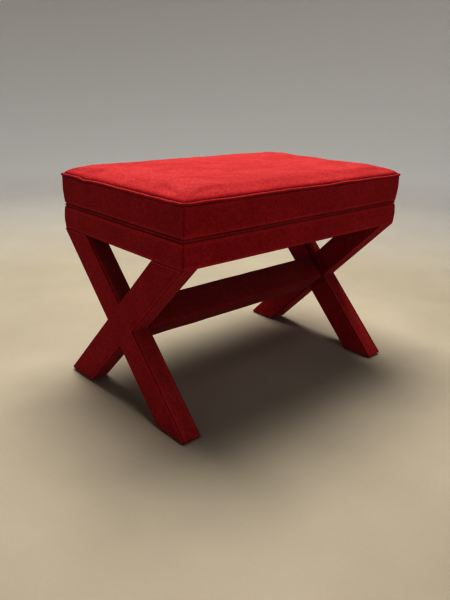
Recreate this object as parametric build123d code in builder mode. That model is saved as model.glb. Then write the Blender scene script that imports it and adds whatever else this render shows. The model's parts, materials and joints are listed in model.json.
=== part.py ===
from build123d import *
import os
from math import atan2, cos, pi, sin, tan

os.makedirs("parts", exist_ok=True)

# An upholstered bench on two X frames joined by a stretcher.
# +X runs along the length, -Y is the front, +Z is up, and the origin is on the floor under the middle.

# ---- seat and apron ----
seat_length = 600
seat_width = 384
apron_bottom = 320
rail_bottom = 322
rail_height = 36
deck_thickness = 12
welt_strip_height = 6
boxing_top = 425.3
felt = 2
apron_padding = 3
under_turn = 25
apron_edge_radius = 4

rail_top = rail_bottom + rail_height
deck_top = rail_top + deck_thickness
apron_top = 366
boxing_bottom = apron_top + welt_strip_height

frame_length = seat_length - 2 * (felt + apron_padding)
frame_width = seat_width - 2 * (felt + apron_padding)
side_rail_width = 20
end_rail_width = 36
corner_block_leg = 45

# ---- crowned cushion ----
boxing_length = seat_length
boxing_width = seat_width + 5
welt_radius = 2.5
welt_cord_radius = 1.4
welt_height = 428
welt_length = boxing_length + 0.4
welt_width = boxing_width
welt_corner_radius = 3.1
cover_length = 595
cover_width = 383.5
crown_edge = 429
crown_rise = 13
crown_inset = 45
crown_steps = 4
wadding_top = 6
foam_length = 587
foam_width = 374

# ---- X frames ----
foot_reach = 159
top_reach = 146
bar_level_width = 82
bar_depth = 44
frame_outer_face = 301
leg_padding = 2
glide_height = 3
closure_thickness = 1.5
foot_bottom = glide_height + closure_thickness
leg_top = 319

lean = atan2(foot_reach + top_reach, leg_top - glide_height)
cross_height = glide_height + foot_reach / tan(lean)
frame_inner_face = frame_outer_face - bar_depth
core_outer_face = frame_outer_face - felt - leg_padding
core_inner_face = frame_inner_face + felt + leg_padding
core_inset = felt + leg_padding
core_middle = (core_outer_face + core_inner_face) / 2

# ---- hardware ----
bolt_radius = 4
bolt_clearance = 4.3
bolt_head_width = 13
bolt_head_height = 5.3
bolt_recess_radius = 10
bolt_recess_depth = 9
washer_radius = 8
washer_thickness = 1.6
leg_bolt_length = 60
leg_bolt_ys = (118.5, 140)
insert_radius = 5.5
insert_length = 25
insert_hole_depth = 31
stretcher_bolt_length = 90
stretcher_bolt_rise = 13
stretcher_bolt_hole = 62
barrel_nut_radius = 5
barrel_nut_length = 24
barrel_nut_depth = 42
dowel_radius = 4
dowel_length = 40
dowel_rise = 9
screw_radius = 2
screw_head_radius = 4
screw_head_depth = 2.5
deck_screw_length = 30
block_screw_length = 50
glide_radius = 12
nail_radius = 1.2
nail_head_radius = 3
nail_head_thickness = 1
nail_length = 21
nail_base = glide_height / 2
staple_width = 11
staple_wire = 1
staple_leg = 8
dust_cover_thickness = 1
dust_cover_margin = 12

dust_cover_bottom = apron_bottom - dust_cover_thickness
ends = (-1, 1)
centred_down = (Align.CENTER, Align.CENTER, Align.MAX)
centred_up = (Align.CENTER, Align.CENTER, Align.MIN)

# Turn about Z that brings the +Y side round to each side, with that side's half length and half depth.
side_turns = {"back": 0, "left": 90, "front": 180, "right": 270}


def finish_piece(piece, name):
    piece.part.label = name
    export_step(piece.part, f"parts/{name}.step")


def side_size(side, length, width):
    """Half the run of a side, and how far its outer face is from the middle."""
    if side in ("front", "back"):
        return length / 2, width / 2
    return width / 2, length / 2


def mitred_strip(side, length, width, thickness, height):
    """A strip along one side of a rectangle, mitred at both ends, drawn at a height."""
    run, reach = side_size(side, length, width)
    with BuildSketch(Plane.XY.offset(height).rotated((0, 0, side_turns[side]))) as strip:
        Polygon(
            (-run, reach),
            (run, reach),
            (run - thickness, reach - thickness),
            (thickness - run, reach - thickness),
            align=None,
        )
    return strip


def crowned_block(length, width, bottom, edge):
    """A block whose top rises from its edges in a quarter ellipse to a flat middle."""
    with BuildPart() as block:
        with BuildSketch(Plane.XY.offset(bottom)):
            Rectangle(length, width)
        extrude(amount=edge - bottom)
        for step in range(crown_steps):
            for angle in (step / crown_steps * pi / 2, (step + 1) / crown_steps * pi / 2):
                inset = crown_inset * (1 - cos(angle))
                with BuildSketch(Plane.XY.offset(edge + crown_rise * sin(angle))):
                    Rectangle(length - 2 * inset, width - 2 * inset)
            loft()
    return block.part


def leg_outline(direction, inset):
    """Side view of one bar, cut level at both ends; its top leans to the back when direction is 1."""
    half = bar_level_width / 2 - inset / cos(lean)
    foot_middle = direction * (foot_bottom - cross_height) * tan(lean)
    top_middle = direction * (leg_top - cross_height) * tan(lean)
    Polygon(
        (foot_middle - half, foot_bottom),
        (foot_middle + half, foot_bottom),
        (top_middle + half, leg_top),
        (top_middle - half, leg_top),
        align=None,
    )


def x_outline(inset):
    """Side view of both bars of an X frame."""
    for direction in ends:
        leg_outline(direction, inset)


def rhombus(inset):
    """Section of the stretcher: the diamond where the two bars cross, less an inset all round."""
    half_width = bar_level_width / 2 - inset / cos(lean)
    half_height = half_width / tan(lean)
    Polygon(
        (-half_width, cross_height),
        (0, cross_height - half_height),
        (half_width, cross_height),
        (0, cross_height + half_height),
        align=None,
    )


def leg_bolt_spots(height):
    """Where the eight leg bolts cross a height."""
    return [(end * core_middle, side * y, height) for end in ends for side in ends for y in leg_bolt_ys]


def stretcher_bolt_planes(face):
    """Planes on the bolt axes at a distance from the middle, facing out of each end."""
    return [
        Plane(origin=(end * face, 0, cross_height + rise), z_dir=(end, 0, 0))
        for end in ends
        for rise in (-stretcher_bolt_rise, stretcher_bolt_rise)
    ]


def deck_screw_spots():
    """Screws through the deck into the four rails."""
    long_sides = [
        (x, side * (frame_width - side_rail_width) / 2, deck_top)
        for side in ends
        for x in (-200, -67, 67, 200)
    ]
    short_sides = [(end * (frame_length - end_rail_width) / 2, y, deck_top) for end in ends for y in (-60, 0, 60)]
    return long_sides + short_sides


def corner_block_planes():
    """The middle of each corner block's open face, facing the middle of the bench."""
    x = frame_length / 2 - end_rail_width - corner_block_leg / 2
    y = frame_width / 2 - side_rail_width - corner_block_leg / 2
    height = rail_bottom + rail_height / 2
    return [Plane(origin=(a * x, b * y, height), z_dir=(-a, -b, 0)) for a in ends for b in ends]


def dowel_spots():
    """Dowels across the joints between side rails and end rails."""
    x = frame_length / 2 - end_rail_width
    y = (frame_width - side_rail_width) / 2
    middle = rail_bottom + rail_height / 2
    return [(a * x, b * y, middle + rise) for a in ends for b in ends for rise in (-dowel_rise, dowel_rise)]


def staple_spots():
    """Staples under the dust cover: along the front and back, and between the legs at the ends."""
    y = frame_width / 2 - 12
    x = frame_length / 2 - 16
    long_sides = [Location((45 * step, side * y, dust_cover_bottom)) for side in ends for step in range(-5, 6)]
    short_sides = [
        Location((end * x, 38 * step, dust_cover_bottom), (0, 0, 90)) for end in ends for step in range(-2, 3)
    ]
    return long_sides + short_sides


def foot_spots(height):
    """The middle of each foot at a height."""
    return [(end * core_middle, side * foot_reach, height) for end in ends for side in ends]


def screws(places, length, mode=Mode.ADD):
    """Countersunk screws whose heads are flush with the places, pointing down from them."""
    with Locations(*places):
        Cone(screw_radius, screw_head_radius, screw_head_depth, align=centred_down, mode=mode)
        Cylinder(screw_radius, length - screw_radius, align=centred_down, mode=mode)
        with Locations((0, 0, screw_radius - length)):
            Cone(0.3, screw_radius, screw_radius, align=centred_down, mode=mode)


def dowels(mode=Mode.ADD):
    with Locations(*[Location(spot, (0, 90, 0)) for spot in dowel_spots()]):
        Cylinder(dowel_radius, dowel_length, mode=mode)


def staple_legs(mode=Mode.ADD):
    with Locations(*staple_spots()):
        with GridLocations(staple_width - staple_wire, 0, 2, 1):
            Box(staple_wire, staple_wire, staple_leg, align=centred_up, mode=mode)


def leg_bolt_holes(height, depth):
    """Clearance holes for the leg bolts, going down from a height."""
    with Locations(*leg_bolt_spots(height)):
        Cylinder(bolt_clearance, depth, align=centred_down, mode=Mode.SUBTRACT)


# ---- rails: two long side rails between two stout end rails ----
def side_rail(name, side):
    with BuildPart() as rail:
        with Locations((0, side * (frame_width - side_rail_width) / 2, rail_bottom)):
            Box(frame_length - 2 * end_rail_width, side_rail_width, rail_height, align=centred_up)
        dowels(Mode.SUBTRACT)
        staple_legs(Mode.SUBTRACT)
        screws(deck_screw_spots(), deck_screw_length, Mode.SUBTRACT)
        screws(corner_block_planes(), block_screw_length, Mode.SUBTRACT)
    finish_piece(rail, name)


def end_rail(name, end):
    with BuildPart() as rail:
        with Locations((end * (frame_length - end_rail_width) / 2, 0, rail_bottom)):
            Box(end_rail_width, frame_width, rail_height, align=centred_up)
        dowels(Mode.SUBTRACT)
        staple_legs(Mode.SUBTRACT)
        screws(deck_screw_spots(), deck_screw_length, Mode.SUBTRACT)
        screws(corner_block_planes(), block_screw_length, Mode.SUBTRACT)
        leg_bolt_holes(rail_top, rail_height)
        with Locations(*leg_bolt_spots(rail_top)):
            Cylinder(bolt_recess_radius, bolt_recess_depth, align=centred_down, mode=Mode.SUBTRACT)
    finish_piece(rail, name)


side_rail("rail_front", -1)
side_rail("rail_back", 1)
end_rail("rail_left", -1)
end_rail("rail_right", 1)

with BuildPart() as rail_dowels:
    dowels()
finish_piece(rail_dowels, "rail_dowels")


# ---- corner blocks: triangular blocks glued and screwed inside the rail corners ----
def corner_block(name, x_side, y_side):
    x = x_side * (frame_length / 2 - end_rail_width)
    y = y_side * (frame_width / 2 - side_rail_width)
    with BuildPart() as block:
        with BuildSketch(Plane.XY.offset(rail_bottom)):
            Polygon((x, y), (x - x_side * corner_block_leg, y), (x, y - y_side * corner_block_leg), align=None)
        extrude(amount=rail_height)
        screws(corner_block_planes(), block_screw_length, Mode.SUBTRACT)
    finish_piece(block, name)


corner_block("corner_block_front_left", -1, -1)
corner_block("corner_block_front_right", 1, -1)
corner_block("corner_block_back_left", -1, 1)
corner_block("corner_block_back_right", 1, 1)

with BuildPart() as corner_block_screws:
    screws(corner_block_planes(), block_screw_length)
finish_piece(corner_block_screws, "corner_block_screws")

# ---- deck: plywood panel with vent holes, screwed to the rails ----
with BuildPart() as seat_deck:
    with BuildSketch(Plane.XY.offset(rail_top)):
        Rectangle(frame_length, frame_width)
        with GridLocations(140, 130, 4, 2):
            Circle(10, mode=Mode.SUBTRACT)
    extrude(amount=deck_thickness)
    screws(deck_screw_spots(), deck_screw_length, Mode.SUBTRACT)
finish_piece(seat_deck, "seat_deck")

with BuildPart() as deck_screws:
    screws(deck_screw_spots(), deck_screw_length)
finish_piece(deck_screws, "deck_screws")

# ---- cushion: foam block, wadding cap, crowned top panel and boxing strips ----
with BuildPart() as seat_foam:
    add(crowned_block(foam_length, foam_width, deck_top, crown_edge - felt - wadding_top))
finish_piece(seat_foam, "seat_foam")

with BuildPart() as seat_wadding:
    add(crowned_block(cover_length, cover_width, boxing_bottom, crown_edge - felt))
    add(crowned_block(foam_length, foam_width, deck_top, crown_edge - felt - wadding_top), mode=Mode.SUBTRACT)
finish_piece(seat_wadding, "seat_wadding")

with BuildPart() as seat_top_cover:
    add(crowned_block(cover_length, cover_width, crown_edge - felt, crown_edge))
    add(crowned_block(cover_length, cover_width, crown_edge - 2 * felt, crown_edge - felt), mode=Mode.SUBTRACT)
finish_piece(seat_top_cover, "seat_top_cover")


def boxing_strip(side):
    with BuildPart() as strip:
        add(mitred_strip(side, boxing_length, boxing_width, felt, boxing_bottom).sketch)
        extrude(amount=boxing_top - boxing_bottom)
    finish_piece(strip, f"boxing_{side}")


for side in side_turns:
    boxing_strip(side)


# ---- top welt: a cord in a folded felt tube around the top edge ----
def welt_path():
    with BuildSketch(Plane.XY.offset(welt_height)) as outline:
        RectangleRounded(welt_length, welt_width, welt_corner_radius)
    return outline.sketch.face().outer_wire()


def welt_tube(radius, bore=0):
    path = welt_path()
    with BuildPart() as tube:
        with BuildSketch(Plane(origin=path @ 0, z_dir=path % 0)):
            Circle(radius)
            if bore:
                Circle(bore, mode=Mode.SUBTRACT)
        sweep(path=path)
    return tube


finish_piece(welt_tube(welt_radius, welt_cord_radius), "top_welt_cover")
finish_piece(welt_tube(welt_cord_radius), "top_welt_cord")

# ---- mid welt: a narrow strip around the deck's edge, set back between boxing and apron ----
with BuildPart() as mid_welt:
    with BuildSketch(Plane.XY.offset(apron_top)):
        Rectangle(frame_length + 2 * felt + 1, frame_width + 2 * felt + 1)
        Rectangle(frame_length + 1, frame_width + 1, mode=Mode.SUBTRACT)
    extrude(amount=welt_strip_height)
finish_piece(mid_welt, "mid_welt")

# ---- apron: wadding around the rails, under felt panels that turn under the frame ----
with BuildPart() as apron_wadding:
    with BuildSketch(Plane.XY.offset(rail_bottom)):
        Rectangle(seat_length - 2 * felt, seat_width - 2 * felt)
        Rectangle(frame_length, frame_width, mode=Mode.SUBTRACT)
    extrude(amount=apron_top - rail_bottom)
finish_piece(apron_wadding, "apron_wadding")


def apron_cover(side):
    with BuildPart() as cover:
        add(mitred_strip(side, seat_length, seat_width, under_turn, apron_bottom).sketch)
        extrude(amount=rail_bottom - apron_bottom)
        add(mitred_strip(side, seat_length, seat_width, felt, rail_bottom).sketch)
        extrude(amount=apron_top - rail_bottom)
        lower_edges = cover.edges().group_by(Axis.Z)[0]
        fillet(lower_edges.sort_by(SortBy.LENGTH)[-1], radius=apron_edge_radius)
        staple_legs(Mode.SUBTRACT)
        leg_bolt_holes(rail_bottom, rail_bottom - apron_bottom)
    finish_piece(cover, f"apron_cover_{side}")


for side in side_turns:
    apron_cover(side)

# ---- dust cover: thin cloth stapled under the frame ----
with BuildPart() as dust_cover:
    with BuildSketch(Plane.XY.offset(dust_cover_bottom)):
        Rectangle(seat_length - 2 * dust_cover_margin, seat_width - 2 * dust_cover_margin)
    extrude(amount=dust_cover_thickness)
    staple_legs(Mode.SUBTRACT)
    leg_bolt_holes(apron_bottom, dust_cover_thickness)
finish_piece(dust_cover, "dust_cover")

with BuildPart() as dust_cover_staples:
    with Locations(*staple_spots()):
        Box(staple_width, staple_wire, staple_wire, align=centred_down)
    staple_legs()
finish_piece(dust_cover_staples, "dust_cover_staples")


# ---- X frames: two bars half lapped where they cross ----
def x_bar(name, end, direction, lap_inner, lap_outer):
    """One bar; the other bar's lap is cut from it between two distances from the middle."""
    with BuildPart() as bar:
        with BuildSketch(Plane.YZ.offset(end * core_inner_face)):
            leg_outline(direction, core_inset)
        extrude(amount=end * (core_outer_face - core_inner_face))
        with BuildSketch(Plane.YZ.offset(end * lap_inner)):
            leg_outline(-direction, core_inset)
        extrude(amount=end * (lap_outer - lap_inner), mode=Mode.SUBTRACT)
        with Locations(*leg_bolt_spots(leg_top)):
            Cylinder(insert_radius, insert_hole_depth, align=centred_down, mode=Mode.SUBTRACT)
        with Locations(*stretcher_bolt_planes(core_outer_face)):
            Cylinder(bolt_recess_radius, bolt_recess_depth, align=centred_down, mode=Mode.SUBTRACT)
            Cylinder(bolt_clearance, bar_depth, align=centred_down, mode=Mode.SUBTRACT)
        with Locations(*foot_spots(nail_base)):
            Cylinder(nail_radius, nail_length, align=centred_up, mode=Mode.SUBTRACT)
    finish_piece(bar, name)


def x_wadding(name, end):
    with BuildPart() as wadding:
        with BuildSketch(Plane.YZ.offset(end * (frame_inner_face + felt))):
            x_outline(felt)
        extrude(amount=end * (bar_depth - 2 * felt))
        with BuildSketch(Plane.YZ.offset(end * core_inner_face)):
            x_outline(core_inset)
        extrude(amount=end * (core_outer_face - core_inner_face), mode=Mode.SUBTRACT)
        with Locations(*stretcher_bolt_planes(core_inner_face)):
            Cylinder(bolt_clearance, leg_padding, align=centred_down, mode=Mode.SUBTRACT)
    finish_piece(wadding, name)


def x_panel(name, end, inner_face):
    """Flat felt panel of the whole X; the inner one has holes for the stretcher bolts."""
    with BuildPart() as panel:
        with BuildSketch(Plane.YZ.offset(end * inner_face)):
            x_outline(0)
        extrude(amount=end * felt)
        with Locations(*stretcher_bolt_planes(frame_inner_face + felt)):
            Cylinder(bolt_clearance, felt, align=centred_down, mode=Mode.SUBTRACT)
    finish_piece(panel, name)


def x_side_strips(prefix, end):
    """Four V-shaped felt strips that close the X between its two panels."""
    with BuildPart() as ring:
        with BuildSketch(Plane.YZ.offset(end * (frame_inner_face + felt))):
            x_outline(0)
        extrude(amount=end * (bar_depth - 2 * felt))
        with BuildSketch(Plane.YZ.offset(end * (frame_inner_face + felt))):
            x_outline(felt)
        extrude(amount=end * (bar_depth - 2 * felt), mode=Mode.SUBTRACT)
    lowest, *middle, highest = ring.part.solids().sort_by(Axis.Z)
    front, back = ShapeList(middle).sort_by(Axis.Y)
    places = {"bottom": lowest, "front": front, "back": back, "top": highest}
    for place, solid in places.items():
        with BuildPart() as strip:
            add(solid)
        finish_piece(strip, f"{prefix}_strip_{place}")


for end, prefix in zip(ends, ("left_x", "right_x")):
    x_bar(f"{prefix}_bar_inner_lap", end, 1, core_middle, core_outer_face)
    x_bar(f"{prefix}_bar_outer_lap", end, -1, core_inner_face, core_middle)
    x_wadding(f"{prefix}_wadding", end)
    x_panel(f"{prefix}_outer_panel", end, frame_outer_face - felt)
    x_panel(f"{prefix}_inner_panel", end, frame_inner_face)
    x_side_strips(prefix, end)

# ---- feet: felt closures, glides and their nails ----
with BuildPart() as foot_closures:
    with Locations(*foot_spots(glide_height)):
        Box(bar_depth, bar_level_width, closure_thickness, align=centred_up)
        Cylinder(nail_radius, closure_thickness, align=centred_up, mode=Mode.SUBTRACT)
finish_piece(foot_closures, "foot_closures")

with BuildPart() as foot_glides:
    with Locations(*foot_spots(0)):
        Cylinder(glide_radius, glide_height, align=centred_up)
    chamfer(foot_glides.edges().group_by(Axis.Z)[0], length=0.8)
    with Locations(*foot_spots(0)):
        Cylinder(nail_head_radius, nail_base, align=centred_up, mode=Mode.SUBTRACT)
        Cylinder(nail_radius, glide_height, align=centred_up, mode=Mode.SUBTRACT)
finish_piece(foot_glides, "foot_glides")

with BuildPart() as glide_nails:
    with Locations(*foot_spots(nail_base)):
        Cylinder(nail_head_radius, nail_head_thickness, align=centred_down)
        Cylinder(nail_radius, nail_length, align=centred_up)
finish_piece(glide_nails, "glide_nails")

# ---- leg bolts: down through the end rails into threaded inserts in the bars ----
leg_bolt_seat = rail_top - bolt_recess_depth + washer_thickness

with BuildPart() as leg_bolts:
    with BuildSketch(Plane.XY.offset(leg_bolt_seat)):
        with Locations(*[spot[:2] for spot in leg_bolt_spots(0)]):
            RegularPolygon(bolt_head_width / 2, 6, major_radius=False)
    extrude(amount=bolt_head_height)
    with Locations(*leg_bolt_spots(leg_bolt_seat)):
        Cylinder(bolt_radius, leg_bolt_length, align=centred_down)
finish_piece(leg_bolts, "leg_bolts")

with BuildPart() as leg_inserts:
    with Locations(*leg_bolt_spots(leg_top)):
        Cylinder(insert_radius, insert_length, align=centred_down)
        Cylinder(bolt_radius, insert_length, align=centred_down, mode=Mode.SUBTRACT)
finish_piece(leg_inserts, "leg_inserts")

# ---- stretcher: a diamond bar bolted between the crossings ----
with BuildPart() as stretcher_core:
    with BuildSketch(Plane.YZ.offset(-frame_inner_face)):
        rhombus(core_inset)
    extrude(amount=2 * frame_inner_face)
    with Locations(*stretcher_bolt_planes(frame_inner_face)):
        Cylinder(bolt_clearance, stretcher_bolt_hole, align=centred_down, mode=Mode.SUBTRACT)
        with Locations(Location((0, 0, -barrel_nut_depth), (90, 0, 0))):
            Cylinder(barrel_nut_radius, barrel_nut_length * 3, mode=Mode.SUBTRACT)
finish_piece(stretcher_core, "stretcher_core")


def stretcher_layer(name, outer_inset, inner_inset):
    with BuildPart() as layer:
        with BuildSketch(Plane.YZ.offset(-frame_inner_face)):
            rhombus(outer_inset)
        extrude(amount=2 * frame_inner_face)
        with BuildSketch(Plane.YZ.offset(-frame_inner_face)):
            rhombus(inner_inset)
        extrude(amount=2 * frame_inner_face, mode=Mode.SUBTRACT)
    finish_piece(layer, name)


stretcher_layer("stretcher_wadding", felt, core_inset)
stretcher_layer("stretcher_cover", 0, felt)

stretcher_bolt_seat = core_outer_face - bolt_recess_depth + washer_thickness

with BuildPart() as stretcher_bolts:
    for plane in stretcher_bolt_planes(stretcher_bolt_seat):
        with BuildSketch(plane):
            RegularPolygon(bolt_head_width / 2, 6, major_radius=False)
        extrude(amount=bolt_head_height)
    with Locations(*stretcher_bolt_planes(stretcher_bolt_seat)):
        Cylinder(bolt_radius, stretcher_bolt_length, align=centred_down)
finish_piece(stretcher_bolts, "stretcher_bolts")

with BuildPart() as barrel_nuts:
    with Locations(*stretcher_bolt_planes(frame_inner_face - barrel_nut_depth)):
        with Locations(Location((0, 0, 0), (90, 0, 0))):
            Cylinder(barrel_nut_radius, barrel_nut_length)
        Cylinder(bolt_radius, 4 * barrel_nut_radius, mode=Mode.SUBTRACT)
finish_piece(barrel_nuts, "barrel_nuts")

with BuildPart() as bolt_washers:
    with Locations(*leg_bolt_spots(leg_bolt_seat), *stretcher_bolt_planes(stretcher_bolt_seat)):
        Cylinder(washer_radius, washer_thickness, align=centred_down)
        Cylinder(bolt_radius, washer_thickness, align=centred_down, mode=Mode.SUBTRACT)
finish_piece(bolt_washers, "bolt_washers")
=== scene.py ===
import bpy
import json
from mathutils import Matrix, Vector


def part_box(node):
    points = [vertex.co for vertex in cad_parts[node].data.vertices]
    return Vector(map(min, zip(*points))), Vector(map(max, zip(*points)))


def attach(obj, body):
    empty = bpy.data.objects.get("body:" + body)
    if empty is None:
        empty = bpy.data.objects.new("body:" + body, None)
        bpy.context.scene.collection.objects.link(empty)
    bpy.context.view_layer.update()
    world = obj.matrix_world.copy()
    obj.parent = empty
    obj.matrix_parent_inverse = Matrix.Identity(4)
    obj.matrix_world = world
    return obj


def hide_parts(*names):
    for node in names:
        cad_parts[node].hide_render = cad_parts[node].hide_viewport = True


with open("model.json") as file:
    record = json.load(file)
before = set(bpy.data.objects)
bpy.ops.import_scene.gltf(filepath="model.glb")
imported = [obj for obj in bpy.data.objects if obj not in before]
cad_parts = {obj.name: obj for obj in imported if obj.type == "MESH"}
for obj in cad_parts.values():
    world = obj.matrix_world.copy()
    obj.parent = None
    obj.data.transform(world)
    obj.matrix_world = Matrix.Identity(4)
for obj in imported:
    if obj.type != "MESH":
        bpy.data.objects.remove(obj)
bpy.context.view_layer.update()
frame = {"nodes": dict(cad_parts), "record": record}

import json
from math import atan2, cos, pi, radians, sin, tan

import bmesh
import bpy
import numpy as np
from mathutils import Matrix

# Shapes are worked out in millimetres, in the CAD's frame, and scaled to metres as each mesh is made.
MM = 0.001
scene = bpy.context.scene


def box_mm(node):
    low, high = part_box(node)
    return np.array(low) / MM, np.array(high) / MM


# ---------------------------------------------------------------- sizes from the frame
apron_low, apron_high = box_mm("apron_cover_front")
boxing_low, boxing_high = box_mm("boxing_front")
welt_low, welt_high = box_mm("top_welt_cover")
crown_high = box_mm("seat_top_cover")[1][2]
deck_top = box_mm("seat_deck")[1][2]
panel_low, panel_high = box_mm("right_x_outer_panel")
inner_low, inner_high = box_mm("right_x_inner_panel")
closure_low, closure_high = box_mm("foot_closures")
stretcher_low, stretcher_high = box_mm("stretcher_cover")
dust_low, dust_high = box_mm("dust_cover")

apron_half_x = apron_high[0]
apron_half_y = -apron_low[1]
boxing_half_x = boxing_high[0]
boxing_half_y = -boxing_low[1]
welt_radius = (welt_high[2] - welt_low[2]) / 2
welt_z = (welt_high[2] + welt_low[2]) / 2
welt_half_x = welt_high[0] - welt_radius
welt_half_y = welt_high[1] - welt_radius
felt_thickness = 1.6

# X frames: level half width of a bar, its lean, and the height where the bars cross
bar_half = stretcher_high[1]
cross_z = (stretcher_high[2] + stretcher_low[2]) / 2
lean_slope = 2 * bar_half / (stretcher_high[2] - stretcher_low[2])
lean = atan2(lean_slope, 1)
frame_outer = panel_high[0]
frame_inner = inner_low[0]
bar_top_z = apron_low[2] + 1.0
foot_z = closure_low[2] + 0.5
inner_face = frame_inner + 2.0
inner_taper = 2.2
inner_seam_inset = 4.6
# Corners of the feet: the toe and the heel, tighter by a share of how far the felt is drawn in
foot_radii = {"out": 3.0, "in": 8.0}
foot_tightening = 1.1
tightest_foot = 0.5
# How much further the panels fold in at the feet and under the apron than along their sides
level_end_reach = 1.3
notch_radius = 1.6


# ---------------------------------------------------------------- mesh helpers
def waves(points, wavelength, seed, count=28):
    """Smooth seeded noise of about unit size over 3-D points in millimetres."""
    random = np.random.default_rng(seed)
    direction = random.normal(size=(count, 3))
    direction /= np.linalg.norm(direction, axis=1)[:, None]
    turns = 2 * pi / (wavelength * random.uniform(0.65, 1.5, count))
    phase = random.uniform(0, 2 * pi, count)
    angles = np.tensordot(points, (direction * turns[:, None]).T, axes=1) + phase
    return np.cos(angles).sum(axis=-1) * (2 / count) ** 0.5


def bump(distance, width):
    return np.exp(-((np.asarray(distance) / width) ** 2))


def rounded(points, radii, steps=5):
    """An open line through points, with each inner corner rounded to its radius."""
    points = [np.array(p, float) for p in points]
    line = [points[0]]
    for before, corner, after, radius in zip(points, points[1:], points[2:], radii):
        a = (before - corner) / np.linalg.norm(before - corner)
        b = (after - corner) / np.linalg.norm(after - corner)
        half = np.arccos(np.clip(a @ b, -1, 1)) / 2
        if radius <= 0 or half > pi / 2 - 0.01:
            line.append(corner)
            continue
        middle = (a + b) / np.linalg.norm(a + b)
        centre = corner + middle * radius / sin(half)
        start = corner + a * radius / tan(half) - centre
        end = corner + b * radius / tan(half) - centre
        sweep = pi - 2 * half
        for k in range(steps + 1):
            f = k / steps
            line.append(centre + (sin((1 - f) * sweep) * start + sin(f * sweep) * end) / sin(sweep))
    line.append(points[-1])
    return np.array(line)


def resample(line, spacing):
    """The same line with its long runs divided, so that none is longer than the spacing."""
    out = [line[0]]
    for start, end in zip(line, line[1:]):
        parts = max(1, int(np.ceil(np.linalg.norm(end - start) / spacing)))
        out += [start + (end - start) * (k + 1) / parts for k in range(parts)]
    return np.array(out)


def line_normals(line, closed=False):
    """Unit normals to the left of a 2-D line."""
    if closed:
        run = np.roll(line, -1, axis=0) - np.roll(line, 1, axis=0)
    else:
        run = np.gradient(line, axis=0)
    normals = np.stack([-run[:, 1], run[:, 0]], axis=1)
    return normals / np.linalg.norm(normals, axis=1)[:, None]


def new_object(name, points, faces, material, painted_shade_and_highlight=None):
    """A mesh object. Its painted shade and highlight values are below 0 where shade is painted in a seam's
    groove and above 0 where a highlight is painted on a ridge.
    """
    mesh = bpy.data.meshes.new(name)
    mesh.from_pydata([tuple(p) for p in np.asarray(points) * MM], [], faces)
    if painted_shade_and_highlight is not None:
        # The painted shade and highlight values are kept on the points for the felt material to read.
        values = np.ascontiguousarray(painted_shade_and_highlight, dtype=np.float32).ravel()
        mesh.attributes.new("painted_shade_and_highlight", "FLOAT", "POINT").data.foreach_set("value", values)
    obj = bpy.data.objects.new(name, mesh)
    scene.collection.objects.link(obj)
    mesh.materials.append(material)
    return obj


def finish_mesh(obj, sharp_angle=60):
    """Welds, asks for outward normals, and shades smooth apart from real edges."""
    work = bmesh.new()
    work.from_mesh(obj.data)
    bmesh.ops.remove_doubles(work, verts=work.verts, dist=1e-6)
    bmesh.ops.recalc_face_normals(work, faces=work.faces)
    work.to_mesh(obj.data)
    work.free()
    obj.data.polygons.foreach_set("use_smooth", [True] * len(obj.data.polygons))
    obj.data.set_sharp_from_angle(angle=radians(sharp_angle))
    return obj


def apply_modifiers(obj):
    graph = bpy.context.evaluated_depsgraph_get()
    mesh = bpy.data.meshes.new_from_object(obj.evaluated_get(graph))
    obj.modifiers.clear()
    obj.data = mesh
    return obj


def grid_faces(rows, columns, wrap_rows=False, wrap_columns=False, first=0):
    faces = []
    for i in range(rows if wrap_rows else rows - 1):
        for j in range(columns if wrap_columns else columns - 1):
            a, b = i * columns, (i + 1) % rows * columns
            k = (j + 1) % columns
            faces.append(tuple(first + index for index in (a + j, b + j, b + k, a + k)))
    return faces


def tube(name, rings, material):
    """A closed ring of circles, such as a welt."""
    rows, columns = rings.shape[:2]
    faces = grid_faces(rows, columns, True, True)
    return finish_mesh(new_object(name, rings.reshape(-1, 3), faces, material), 180)


def thick_sheet(name, outer, reference, material, thickness=felt_thickness, wrap=False, painted_shade_and_highlight=0.0):
    """A closed sheet of cloth: an outer skin, an inner one a thickness behind it, and its rims."""
    if wrap:
        along = np.roll(outer, -1, axis=0) - np.roll(outer, 1, axis=0)
    else:
        along = np.gradient(outer, axis=0)
    across = np.gradient(outer, axis=1)
    normal = np.cross(along, across)
    normal /= np.linalg.norm(normal, axis=2)[:, :, None] + 1e-12
    if (normal * reference).sum() < 0:
        normal = -normal
    rows, columns = outer.shape[:2]
    inner = outer - normal * thickness
    points = np.concatenate([outer.reshape(-1, 3), inner.reshape(-1, 3)])
    painted_shade_and_highlight_values = np.tile(np.broadcast_to(painted_shade_and_highlight, (rows, columns)).ravel(), 2)
    count = rows * columns
    faces = grid_faces(rows, columns, wrap) + grid_faces(rows, columns, wrap, first=count)
    for i in range(rows if wrap else rows - 1):
        for j in (0, columns - 1):
            a, b = i * columns + j, (i + 1) % rows * columns + j
            faces.append((a, b, b + count, a + count))
    if not wrap:
        for j in range(columns - 1):
            for i in (0, rows - 1):
                a, b = i * columns + j, i * columns + j + 1
                faces.append((a, b, b + count, a + count))
    return finish_mesh(new_object(name, points, faces, material, painted_shade_and_highlight_values))


# ---------------------------------------------------------------- lines round the seat
SIDE_TURNS = {"back": 0, "left": 90, "front": 180, "right": 270}


def side_stations(run, spacing, arc_steps=6):
    """Points from one corner seam to the next: a share of the straight run, and a direction on the arc."""
    start = [(-1, cos(a), sin(a)) for a in np.linspace(radians(135), radians(90), arc_steps + 1)]
    straight = [(f, 0, 1) for f in np.linspace(-1, 1, int(2 * run / spacing) + 1)[1:-1]]
    end = [(1, cos(a), sin(a)) for a in np.linspace(radians(90), radians(45), arc_steps + 1)]
    return np.array(start + straight + end)


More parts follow.
